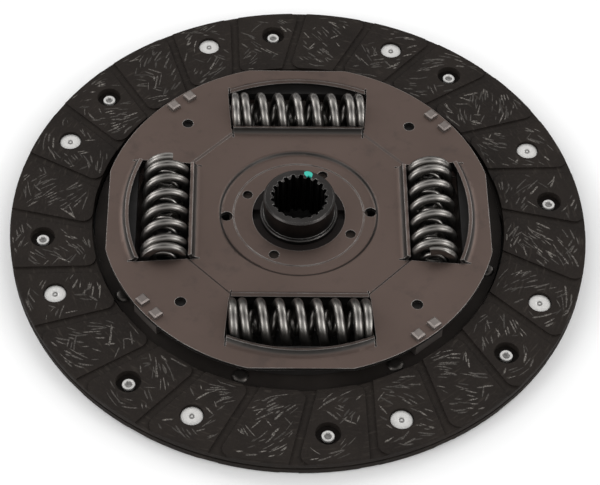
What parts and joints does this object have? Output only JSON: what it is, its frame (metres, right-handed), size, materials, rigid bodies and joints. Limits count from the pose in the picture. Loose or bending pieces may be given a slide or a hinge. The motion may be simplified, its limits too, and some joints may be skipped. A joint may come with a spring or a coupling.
{
  "type": "clutch disc",
  "caption": "Clutch friction disc with riveted segmented facings, a sprung torsion damper between pressed plates and a splined hub.",
  "frame": {"origin": "on the hub axis, level with the rear plate's window lips, on which the disc lies", "axes": "+Z along the hub axis towards the long end of the hub (gearbox side); +X and +Y through two neighbouring damper springs"},
  "size_m": [0.24, 0.24, 0.0228],
  "materials": {
    "facing": "matt, pressed fibre",
    "rivet_steel": "bright",
    "spring_sheet": "satin",
    "cushion_rivet": "satin",
    "plate_steel": "satin, dark browned",
    "spacer_steel": "satin",
    "coil_steel": "dark satin",
    "hub_steel": "satin",
    "flange_steel": "satin",
    "bush_plastic": "satin",
    "ring_steel": "dull",
    "friction_ring": "matt"
  },
  "bodies": {
    "plates": {"friction_facing_front": "facing", "friction_facing_rear": "facing", "facing_rivets_front": "rivet_steel", "facing_rivets_rear": "rivet_steel", "cushion_spring_disc": "spring_sheet", "cushion_rivets": "cushion_rivet", "retainer_plate_front": "plate_steel", "retainer_plate_rear": "plate_steel", "spacer_1": "spacer_steel", "spacer_2": "spacer_steel", "spacer_3": "spacer_steel", "spacer_4": "spacer_steel", "bush_front": "bush_plastic", "bush_rear": "bush_plastic", "support_ring_front": "ring_steel", "friction_ring_rear": "friction_ring", "pressure_washer_rear": "ring_steel", "diaphragm_spring": "spring_sheet"},
    "hub": {"hub": "hub_steel", "hub_flange": "flange_steel"},
    "damper_springs": {"outer_spring_1": "coil_steel", "outer_spring_2": "coil_steel", "outer_spring_3": "coil_steel", "outer_spring_4": "coil_steel", "inner_spring_1": "coil_steel", "inner_spring_2": "coil_steel", "inner_spring_3": "coil_steel", "inner_spring_4": "coil_steel"}
  },
  "joints": [
    {"name": "hub_turn", "type": "hinge", "parent": "plates", "child": "hub", "pos_m": [0, 0, 0.0096], "axis": [0, 0, 1], "range_deg": [-10, 10], "stiffness_Nm_per_rad": 50, "deforming": ["outer_spring_1", "outer_spring_2", "outer_spring_3", "outer_spring_4", "inner_spring_1", "inner_spring_2", "inner_spring_3", "inner_spring_4"]},
    {"name": "spring_turn", "type": "hinge", "parent": "plates", "child": "damper_springs", "pos_m": [0, 0, 0.0104], "axis": [0, 0, 1], "range_deg": [-5.1, 5.1]}
  ],
  "couplings": [
    {"joint": "spring_turn", "follows": "hub_turn", "ratio": 0.5}
  ]
}
